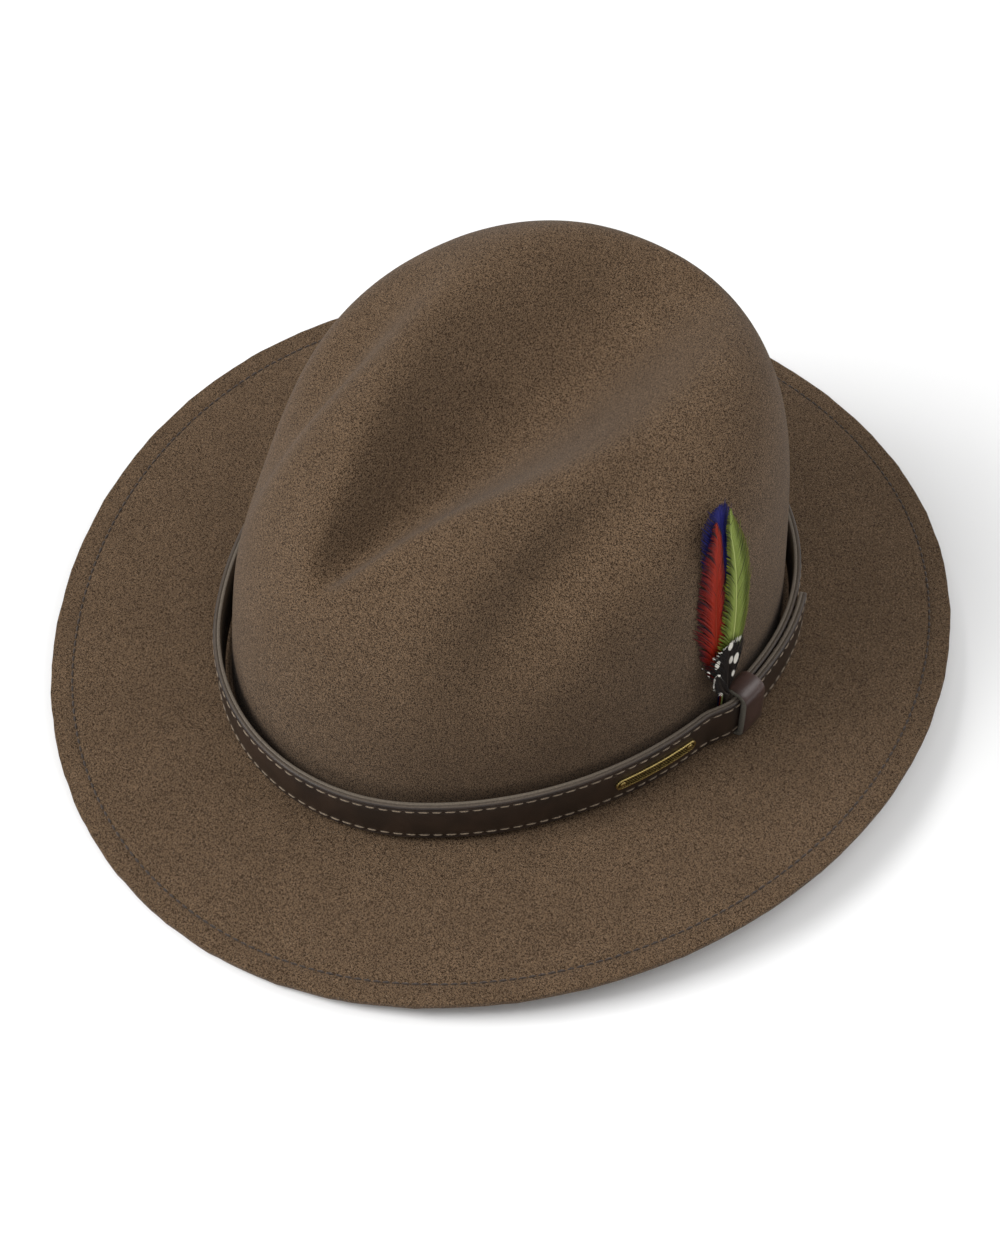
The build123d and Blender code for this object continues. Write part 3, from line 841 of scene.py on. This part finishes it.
# ---- keeper -----------------------------------------------------------------------------
def rounded_ring(low_x, low_y, high_x, high_y, radius, steps):
    """Corner-rounded rectangle with its outward directions, walked once round."""
    ring = []
    for index, (x, y) in enumerate(((high_x, low_y), (high_x, high_y), (low_x, high_y), (low_x, low_y))):
        middle_x = x - radius if x == high_x else x + radius
        middle_y = y - radius if y == high_y else y + radius
        for step in range(steps + 1):
            angle = radians(-90 + 90 * index + 90 * step / steps)
            ring.append(
                (middle_x + radius * cos(angle), middle_y + radius * sin(angle), cos(angle), sin(angle))
            )
    dense = []
    for first, second in zip(ring, ring[1:] + ring[:1]):
        gap = sqrt((first[0] - second[0]) ** 2 + (first[1] - second[1]) ** 2)
        pieces = max(1, int(gap / 1.6))
        for share in range(pieces):
            dense.append(tuple(a + (b - a) * share / pieces for a, b in zip(first, second)))
    return dense


def make_keeper():
    """A leather loop: soft bent corners, a smooth face and raw cut sides."""
    half, thick, soft = keeper_half_width, keeper_thickness, 0.3
    cut = (
        (half, 0.0), (half, thick / 2), (half, thick - soft), (half - 0.1, thick - 0.1),
        (half - soft, thick),
    )
    face = [(share * half, thick + 0.12 * (1 - share**2)) for share in (0.7, 0.35, 0.0, -0.35, -0.7)]
    section = list(cut) + face + [(-along, deep) for along, deep in reversed(cut)] + [
        (-half / 2, 0.0), (0.0, 0.0), (half / 2, 0.0)
    ]
    loop = rounded_ring(keeper_inside, keeper_low, keeper_outside, keeper_high, 2.2, 7)
    rows, marks = [], []
    for out, up, out_dir, up_dir in loop:
        for along, deep in section:
            belly = 0.25 * max(out_dir, 0.0) * sin(pi * (up - keeper_low) / (keeper_high - keeper_low))
            worn = deep * (1 - 0.5 * max(-out_dir, -up_dir, 0.0))
            reach = out + out_dir * worn + belly * (deep > 0.5)
            turn = radians(keeper_angle) + along / (head.side + band_outside)
            x, y = head.spot(turn, reach)
            rows.append((float(x), float(y), brim_top + lift(x, y) + up + up_dir * worn))
            marks.append(1.0 if abs(along) > half - 0.05 else 0.0)
    return new_mesh("keeper_strap", rows, join_rows(len(loop), len(section), loop=True), {"edge": marks})


piece("keeper_strap", make_keeper(), "keeper", ["keeper_loop"], keeper_leather)


def make_staple():
    """A flat wire with its two legs bent in, behind the keeper."""
    middle = (keeper_low + keeper_high) / 2
    path = [(-3.0, 0.5)] + [(-2.7 + 5.4 * step / 6, 0.05) for step in range(7)] + [(3.0, 0.5)]
    rows = []
    for along, deep in path:
        for angle in np.arange(8) * pi / 4:
            turn = radians(keeper_angle) + along / head.side
            x, y = head.spot(turn, keeper_inside - keeper_thickness / 2 + deep + 0.22 * cos(angle))
            rows.append((float(x), float(y), brim_top + lift(x, y) + middle + 0.4 * sin(angle)))
    faces = join_rows(len(path), 8) + [tuple(range(8)), tuple(range(len(rows) - 8, len(rows)))]
    return new_mesh("wire_staple", rows, faces)


piece("wire_staple", make_staple(), "keeper", ["keeper_staple"], steel)


# ---- plate and rivets -------------------------------------------------------------------
def on_strap(along, across, out):
    """A place on the strap's face: along it from the plate's middle, up from its centre line."""
    turn = radians(plate_angle) + along / (head.side + band_outside)
    x, y = head.spot(turn, band_outside + out)
    return float(x), float(y), brim_top + float(lift(x, y)) + (band_bottom + band_top) / 2 + across


def make_plate():
    """Round-ended plate with a rolled rim round a sunk field."""
    levels = (
        (0.0, 0.1, 0.4), (0.0, 0.7, 0.7), (0.08, 0.92, 1.0), (0.25, 1.0, 1.0), (0.5, 0.98, 1.0),
        (0.66, 0.85, 0.6),
        (0.8, 0.62, 0.0), (1.1, 0.6, 0.0), (1.5, 0.6, 0.0), (2.0, 0.6, 0.0), (2.46, 0.6, 0.0),
        (2.46, 0.1, 0.0),
        (1.2, 0.1, 0.0),
    )
    around = 112
    points, marks, runs = [], [], []
    for inset, height, rub in levels:
        radius = plate_width / 2 - inset
        straight = plate_length / 2 - plate_width / 2
        for index in range(around):
            quarter = around // 4
            lap, step = divmod(index, quarter)
            if lap in (0, 2):
                hand = 1 if lap == 0 else -1
                angle = pi * (step / quarter - 0.5)
                along = hand * (straight + radius * cos(angle))
                across = hand * radius * sin(angle)
            else:
                hand = 1 if lap == 1 else -1
                along = hand * straight * (1 - 2 * step / quarter)
                across = hand * radius
            points.append(on_strap(along, across, height))
            marks.append(rub)
            runs.append((along + across * 0.6, across, 0.0))
    mesh = new_mesh("curved_plate", points, join_rows(len(levels), around, loop=True), {"rub": marks})
    layer = mesh.attributes.new("run", "FLOAT_VECTOR", "POINT")
    layer.data.foreach_set("vector", np.asarray(runs, np.float32).ravel())
    return mesh


def make_rivets():
    """Two rivets with low domed heads."""
    profile = ((0.8, -2.4), (0.8, 0.6), (1.12, 0.62), (1.15, 0.76), (1.02, 0.93), (0.7, 1.06), (0.36, 1.12))
    around = 20
    points, faces, marks = [], [], []
    for hand in (1, -1):
        start = len(points)
        centre = hand * (plate_length / 2 - rivet_inset)
        for radius, out in profile:
            for step in range(around):
                angle = step * 2 * pi / around
                points.append(on_strap(centre + radius * cos(angle), radius * sin(angle), out))
                marks.append(1.0)
        faces += join_rows(len(profile), around, start=start)
        for level, out in ((0, -2.4), (len(profile) - 1, 1.14)):
            faces += fan(len(points), start + level * around, around)
            points.append(on_strap(centre, 0.0, out))
            marks.append(1.0)
    return new_mesh("rivet_heads", points, faces, {"rub": marks})


piece("curved_plate", make_plate(), "hatband", ["brass_plate"], brass)
piece("rivet_heads", make_rivets(), "hatband", ["plate_rivets"], brass)


# ---- feathers ---------------------------------------------------------------------------
def barb_shape():
    """One barb, a metre long before it is scaled: a thin tapering blade that curves to the tip."""
    blade = ((0.0, 0.3, 0.0), (0.35, 0.32, -0.4), (0.7, 0.26, -0.3), (1.0, 0.06, 0.5))
    points, marks = [], []
    for along, half, bow in blade:
        for across, out in ((-half, 0.0), (half, 0.05), (0.0, 0.14)):
            points.append((along / MM, bow + across, out))
            marks.append(along)
    faces = join_rows(len(blade), 3) + [(0, 1, 2), (9, 10, 11)]
    return bpy.data.objects.new("barb", new_mesh("barb", points, faces, {"across": marks}))


def feather_pattern():
    """Barbs on both sides of a shaft, each a little uneven, and the shaft itself."""
    plume = Pattern(
        "feather_vane", spacing="Float", uneven="Float", seed="Int", barb="Object", finish="Material"
    )
    shaft = plume.node("GeometryNodeMeshToCurve", values=[plume["Geometry"]])
    spots = plume.node(
        "GeometryNodeCurveToPoints", {"mode": "LENGTH"}, {"Curve": shaft, "Length": plume["spacing"]}
    )
    blade = plume.node("GeometryNodeObjectInfo", values=[plume["barb"]], out="Geometry")
    along = plume.named("along")
    parts = []
    for hand, side in ((1, "right"), (-1, "left")):
        clump = plume.node(
            "ShaderNodeTexNoise", {"noise_dimensions": "1D"},
            {"W": along * 34 + plume["seed"] + hand, "Scale": 1.0, "Detail": 2.0},
        )
        marked = plume.node(
            "GeometryNodeStoreNamedAttribute",
            {"data_type": "FLOAT", "domain": "POINT"},
            {"Geometry": spots, "Name": "shade", "Value": clump * 0.8 + plume.chance(-0.1, 0.3, 9 + hand)},
        )
        jitter = plume.chance(-0.5, 0.5, 11 + hand) * plume["uneven"] + (clump - 0.5) * plume["uneven"]
        angle = plume.named("sweep") + jitter
        turn = angle * hand if hand > 0 else pi - angle
        stretch = 1 + jitter * 0.9 + (plume.chance(0.0, 1.0, 21 + hand)).step(0.93, 1.0) * 0.22
        reach = plume.named(side) * stretch
        lift_off = plume.node("ShaderNodeCombineXYZ", values=[jitter * 0.5, jitter * 0.2, turn])
        size = plume.node("ShaderNodeCombineXYZ", values=[reach, 1.0, 1.0])
        parts.append(
            plume.node(
                "GeometryNodeInstanceOnPoints",
                values={"Points": marked, "Instance": blade, "Rotation": lift_off, "Scale": size},
            )
        )
    ring = plume.node("GeometryNodeCurvePrimitiveCircle", values={"Resolution": 7, "Radius": 1.0})
    stem = plume.node(
        "GeometryNodeCurveToMesh",
        values={"Curve": shaft, "Profile Curve": ring, "Scale": plume.named("quill"), "Fill Caps": True},
    )
    stem = plume.node(
        "GeometryNodeStoreNamedAttribute",
        {"data_type": "FLOAT", "domain": "POINT"},
        {"Geometry": stem, "Name": "across", "Value": -1.0},
    )
    joined = plume.tree.nodes.new("GeometryNodeJoinGeometry")
    for part in (*parts, stem):
        plume.tree.links.new(part.socket, joined.inputs[0])
    return plume.end(Term(plume, joined.outputs[0]))


feather_vane = feather_pattern()
barb = barb_shape()


def feather_frame():
    """Origin and directions of the bunch: to the back of the hat, up, and out of the crown."""
    turn = radians(feather_angle)
    x, y = head.spot(turn, feather_crown_gap)
    origin = np.array([float(x), float(y), brim_top + float(lift(x, y)) + band_top])
    back = np.array([-sin(turn), cos(turn), 0.0])
    lean = radians(feather_lean)
    out = np.array([cos(turn) * cos(lean), sin(turn) * cos(lean), sin(lean)])
    return origin, back, np.cross(out, back), out


def vane_width(share, swell, taper, point):
    """Half width of a feather's outline as a share of its widest: it swells, then rounds off to the tip."""
    grow = np.clip(share / swell + 0.1, 0, 1) ** 0.8
    close = np.clip((share - taper) / (1 - taper), 0, 1)
    return grow * (1 - close**2) ** point


def barb_room(start, angle, length, half, *outline):
    """How far a barb runs from the shaft at `start` before it meets the outline."""
    runs = np.linspace(0, 60, 601)
    inside = runs * cos(angle) < half * vane_width((start + runs * sin(angle)) / length, *outline)
    return float(runs[np.argmin(inside)])


def make_feather(
    name, finish, layer, length, left, right, bow, turn, outline, seed, spacing=0.42, uneven=0.1
):
    """One feather laid flat against the crown, its shaft sweeping down behind the hatband."""
    steps = 60
    path, sweeps, lefts, rights, quills, alongs = [], [], [], [], [], []
    for index in range(steps + 1):
        share = index / steps
        along = share * (length - 1.5)
        sweep_angle = barb_angle + barb_steepening * share**2
        path.append((bow * sin(pi * min(share * 1.15, 1.0)) ** 0.8, along, 0.0))
        sweeps.append(sweep_angle)
        lefts.append(max(barb_room(along, sweep_angle, length, left, *outline), 0.5) * MM)
        rights.append(max(barb_room(along, sweep_angle, length, right, *outline), 0.5) * MM)
        quills.append((0.42 - 0.3 * share) * MM)
        alongs.append(share)
    source = bpy.data.meshes.new(name + "_shaft")
    source.from_pydata((np.array(path) * MM).tolist(), [(i, i + 1) for i in range(steps)], [])
    for key, values in (
        ("sweep", sweeps), ("left", lefts), ("right", rights), ("quill", quills), ("along", alongs)
    ):
        source.attributes.new(key, "FLOAT", "POINT").data.foreach_set("value", np.array(values, np.float32))
    mesh = grown(
        source, feather_vane, name,
        spacing=spacing * MM, uneven=uneven, seed=seed, barb=barb, finish=finish.material,
    )
    points = np.zeros(len(mesh.vertices) * 3, np.float32)
    mesh.vertices.foreach_get("co", points)
    flat = points.reshape(-1, 3).astype(float) / MM
    layer_marks = mesh.attributes.new("flat", "FLOAT_VECTOR", "POINT")
    layer_marks.data.foreach_set("vector", flat.astype(np.float32).ravel())
    mesh.vertices.foreach_set("co", (laid(flat, layer, turn) * MM).astype(np.float32).ravel())
    return with_quill(name, mesh, finish, layer)


def laid(flat, layer, turn):
    """Moves a flat feather to its place in the bunch, cupped across and bent in at its tip."""
    origin, back, up, out = feather_frame()
    rake = radians(feather_rake + turn)
    across = flat[:, 1] * sin(rake) + flat[:, 0] * cos(rake)
    rise = quill_foot + flat[:, 1] * cos(rake) - flat[:, 0] * sin(rake)
    cup = -flat[:, 0] ** 2 * vane_cup - np.maximum(rise - tip_bend_start, 0) ** 2 * tip_bend
    cup = cup + quill_foot * sin(radians(feather_lean))
    depth = layer * feather_layer + 0.35 + flat[:, 2] * 0.5 + cup + (spotted_lift if layer > 2 else 0.0)
    return origin + across[:, None] * back + rise[:, None] * up + depth[:, None] * out


def with_quill(name, mesh, finish, layer):
    """Adds the bare quill that runs down behind the hatband."""
    origin, back, up, out = feather_frame()
    steps = 10
    points = []
    for step in range(steps + 1):
        rise = -quill_length + (quill_length + quill_foot + 1) * step / steps
        thick = 0.42 + 0.12 * step / steps
        middle = origin + back * max(rise, 0) * sin(radians(feather_rake))
        middle = middle + np.array([0, 0, rise]) + out * (layer * feather_layer + 0.3 - 0.02 * min(rise, 0))
        for angle in np.arange(8) * pi / 4:
            points.append(middle + back * thick * cos(angle) + out * thick * 0.5 * sin(angle))
    faces = join_rows(steps + 1, 8) + [tuple(range(8)), tuple(range(steps * 8, steps * 8 + 8))]
    quill = new_mesh(
        name + "_quill", points, faces, {"across": [-1.0] * len(points), "along": [0.0] * len(points)}
    )
    quill.materials.append(finish.material)
    return merged(name, [mesh, quill])


blue_vane = vane_finish(
    "blue_vane", dye(26, 26, 108), dye(24, 24, 96), dye(20, 18, 70), dye(20, 16, 66), dye(22, 20, 74)
)
red_vane = vane_finish(
    "red_vane", dye(158, 34, 5), dye(110, 16, 6), dye(84, 12, 20), dye(30, 9, 22), dye(136, 40, 10)
)
green_vane = vane_finish(
    "green_vane", dye(142, 158, 76), dye(88, 100, 30), dye(118, 122, 38), dye(52, 58, 15),
    dye(180, 190, 116),
)
spotted_vane = vane_finish(
    "spotted_vane", dye(26, 20, 17), dye(22, 17, 15), dye(18, 14, 13), dye(13, 11, 10), dye(44, 38, 33),
    spots=0.22,
)

bunch = (
    (
        "blue_plume", "blue_feather", "feather_blue", blue_vane, 0, 83.0, 7.0, 7.0, -1.4, -0.5,
        (0.4, 0.88, 0.45), 2,
    ),
    (
        "red_plume", "red_feather", "feather_red", red_vane, 1, 79.0, 7.5, 6.5, -3.2, -2.5,
        (0.35, 0.4, 0.7), 4,
    ),
    (
        "green_plume", "green_feather", "feather_green", green_vane, 2, 81.0, 6.5, 9.5, 3.0, 2.0,
        (0.35, 0.35, 0.9), 6,
    ),
    (
        "spotted_plume_front", "guinea_feather_front", "feather_spotted", spotted_vane, 3, 25.0, 9.0, 9.0,
        0.0, -1.0, (0.8, 0.8, 0.5), 8,
    ),
    (
        "spotted_plume_side", "guinea_feather_side", "feather_spotted", spotted_vane, 4, 17.0, 2.4, 2.4,
        -0.8, -24.0, (0.5, 0.6, 0.5), 10,
    ),
)
for name, node, colour, vane, *shape in bunch:
    piece(name, make_feather(name, vane, *shape), "feather_bunch", [node])


def make_binding():
    """Thread wound round the quills in tight turns."""
    origin, back, up, out = feather_frame()
    centre = origin + out * (2.5 * feather_layer) - np.array([0, 0, quill_length - 1])
    winds, per_wind, sides = 11, 20, 6
    points = []
    for step in range(winds * per_wind + 1):
        angle = step * 2 * pi / per_wind
        rise = 5.0 * step / (winds * per_wind)
        spot = centre + back * 1.55 * cos(angle) + out * 1.62 * sin(angle) + np.array([0, 0, rise])
        away = back * cos(angle) + out * sin(angle)
        for side in range(sides):
            around = side * 2 * pi / sides
            points.append(spot + away * 0.24 * cos(around) + np.array([0, 0, 0.27 * sin(around)]))
    rows = winds * per_wind + 1
    faces = join_rows(rows, sides) + [tuple(range(sides)), tuple(range(len(points) - sides, len(points)))]
    return new_mesh("quill_binding", points, faces)


piece("quill_binding", make_binding(), "feather_bunch", ["feather_binding"], waxed_thread)


# ---- sweatband and what is sewn to it ---------------------------------------------------
def lining_strip(name, section, marks=None, arc=None):
    """A section (inset, height) carried round the inside of the crown, or along an arc of it."""
    if arc:
        walk = np.linspace(arc[0], arc[1], 25)
    else:
        walk = turns
    rows = np.array([[crown_spot(turn, height, inset) for inset, height in section] for turn in walk])
    count = len(section)
    faces = join_rows(len(walk), count, loop=not arc)
    if arc:
        faces.append(tuple(range(count)))
        faces.append(tuple(range((len(walk) - 1) * count, len(walk) * count)))
    return new_mesh(name, rows.reshape(-1, 3), faces, {"edge": np.tile(marks or [0.0] * count, len(walk))})


sweat_section = [
    (sweat_outside, sweat_bottom), (sweat_outside, 8.0), (sweat_outside, 20.0),
    (sweat_outside, sweat_top - 0.3),
    (sweat_outside + 0.2, sweat_top), (sweat_inside - 0.3, sweat_top), (sweat_inside, sweat_top - 0.4),
    (sweat_inside + 0.05, 26.0), (sweat_inside + 0.1, 18.0), (sweat_inside + 0.05, 9.0),
    (sweat_inside, 5.4),
    (sweat_inside - 0.25, sweat_stitch), (sweat_inside + 0.05, 3.2), (sweat_inside + 0.1, 0.6),
    (sweat_inside, sweat_bottom),
]
sweat_marks = [0.0, 0.0, 0.0, 0.6, 1.0, 1.0, 0.2] + [0.0] * 8
piece(
    "sweat_leather", lining_strip("sweat_leather", sweat_section, sweat_marks), "hat", ["sweatband"],
    lining_leather,
)

reed_section = [
    (sweat_inside + 0.95 + 0.8 * cos(angle), sweat_bottom + 1.2 + 1.15 * sin(angle))
    for angle in np.arange(10) * pi / 5
]
piece(
    "sweat_reed", lining_strip("sweat_reed", reed_section), "hat", ["sweatband_reed"],
    reed_finish,
)


def make_sweat_stitches():
    walk = np.arange(480) * 2 * pi / 480
    points = np.array([crown_spot(turn, sweat_stitch, sweat_inside - 0.05) for turn in walk])
    outs = np.stack([-np.cos(walk), -np.sin(walk), np.zeros_like(walk)], axis=1)
    return sewn("sweat_row", points, outs, True, 3.8, 7, sweat_stitch_shape, tan_cotton)


piece("sweat_stitches", make_sweat_stitches(), "hat", ["sweatband_stitching"])


def flat_patch(name, middle, width, low, high, inset, thickness):
    """A thin rounded patch on the inside of the sweatband."""
    spread = width / 2 / 84.0
    section = [
        (inset, low), (inset, high), (inset + thickness * 0.7, high - 0.05), (inset + thickness, high - 0.3)
    ]
    section += [(inset + thickness, low + (high - low) * share) for share in (0.8, 0.6, 0.4, 0.2)]
    section += [(inset + thickness, low + 0.3), (inset + thickness * 0.7, low + 0.05)]
    return lining_strip(name, section, arc=(middle - spread, middle + spread))


piece(
    "seam_tape", flat_patch("seam_tape", pi / 2, 12.0, 6.3, 31.8, 3.95, 0.4), "hat",
    ["sweatband_seam_tape"], grosgrain,
)
piece(
    "woven_tag", flat_patch("woven_tag", -pi / 2, 22.0, 8.8, 22.8, 3.95, 0.4), "hat", ["size_tag"],
    tag_cloth,
)


def make_bow():
    """Two flat loops and a knot of ribbon."""
    rows = []
    for step in range(41):
        share = step / 40
        angle = 2 * pi * share
        along = 11.0 * sin(angle)
        deep = 4.45 + 0.5 * (1 - cos(2 * angle)) * 0.5 + 0.35 * (1 if share > 0.5 else 0) * abs(sin(angle))
        wide = 2.3 - 0.9 * cos(angle) ** 4
        for edge, extra in ((-wide, 0.0), (wide, 0.0), (wide, 0.22), (-wide, 0.22)):
            rows.append(crown_spot(pi / 2 + along / 86.0, 14.3 + edge, deep + extra))
    bow_faces = join_rows(41, 4) + [(0, 1, 2, 3), (160, 161, 162, 163)]
    knot_start = len(rows)
    ring = [(1.5 * cos(a), 2.2 * sin(a)) for a in np.arange(12) * pi / 6]
    for deep, grow in ((4.4, 1.0), (5.1, 1.0), (5.4, 0.8)):
        for along, rise in ring:
            rows.append(crown_spot(pi / 2 + along * grow / 86.0, 14.3 + rise * grow, deep))
    bow_faces += join_rows(3, 12, start=knot_start)
    bow_faces += [tuple(range(knot_start, knot_start + 12)), tuple(range(knot_start + 24, knot_start + 36))]
    return new_mesh("ribbon_bow", rows, bow_faces)


piece("ribbon_bow", make_bow(), "hat", ["sweatband_bow"], grosgrain)


# ---- studio -----------------------------------------------------------------------------
def make_floor():
    """A wide pale floor that rises behind the hat."""
    rows = []
    for y, z in ((-3.0, 0.0), (-1.0, 0.0), (1.2, 0.0), (1.9, 0.12), (2.3, 0.6), (2.4, 2.4)):
        rows += [(-4.0 / MM, y / MM, z / MM), (4.0 / MM, y / MM, z / MM)]
    floor = bpy.data.objects.new("floor", new_mesh("floor", rows, join_rows(6, 2, ring=False)))
    paint = Finish("pale_floor", roughness=0.9, specular_ior_level=0.1, base_color=dye(249, 249, 249))
    floor.data.materials.append(paint.material)
    bpy.context.scene.collection.objects.link(floor)


def soft_light(name, azimuth, elevation, power, size):
    """A square soft box aimed at the hat."""
    lamp = bpy.data.lights.new(name, "AREA")
    lamp.energy = power
    lamp.size = size
    thing = bpy.data.objects.new(name, lamp)
    around, above = radians(azimuth), radians(elevation)
    aim = Vector((sin(around) * cos(above), -cos(around) * cos(above), sin(above)))
    thing.location = aim * 1.6 + Vector((0, 0, 0.05))
    thing.rotation_mode = "QUATERNION"
    thing.rotation_quaternion = aim.to_track_quat("Z", "Y")
    bpy.context.scene.collection.objects.link(thing)


camera_azimuth = 48.0
camera_elevation = 52.4
camera_distance = 0.778
scale_on_frame = 2805.0
frame_width, frame_height = 1000.0, 1250.0
middle_right, middle_down = 505.5, 605.2


def make_camera():
    """The camera looks at the middle of the brim from the wearer's front left."""
    lens = bpy.data.cameras.new("camera")
    lens.sensor_width = 36.0
    lens.sensor_fit = "AUTO"
    lens.lens = scale_on_frame * camera_distance * lens.sensor_width / frame_height
    lens.shift_x = (frame_width / 2 - middle_right) / frame_height
    lens.shift_y = (middle_down - frame_height / 2) / frame_height
    camera = bpy.data.objects.new("camera", lens)
    around, above = radians(camera_azimuth), radians(camera_elevation)
    back = Vector((sin(around) * cos(above), -cos(around) * cos(above), sin(above)))
    camera.location = back * camera_distance + Vector((0, 0, brim_top * MM))
    camera.rotation_mode = "QUATERNION"
    camera.rotation_quaternion = back.to_track_quat("Z", "Y")
    bpy.context.scene.collection.objects.link(camera)
    bpy.context.scene.camera = camera


make_floor()
soft_light("left_box", camera_azimuth - 80, 44, 20.5, 0.8)
soft_light("right_box", camera_azimuth + 100, 45, 10.0, 1.2)
soft_light("front_box", camera_azimuth, 66, 4.5, 1.2)
make_camera()

world = bpy.data.worlds.new("studio")
world.use_nodes = True
world.node_tree.nodes["Background"].inputs["Color"].default_value = (0.95, 0.95, 0.95, 1)
world.node_tree.nodes["Background"].inputs["Strength"].default_value = 0.36
bpy.context.scene.world = world
bpy.context.scene.view_settings.view_transform = "Standard"
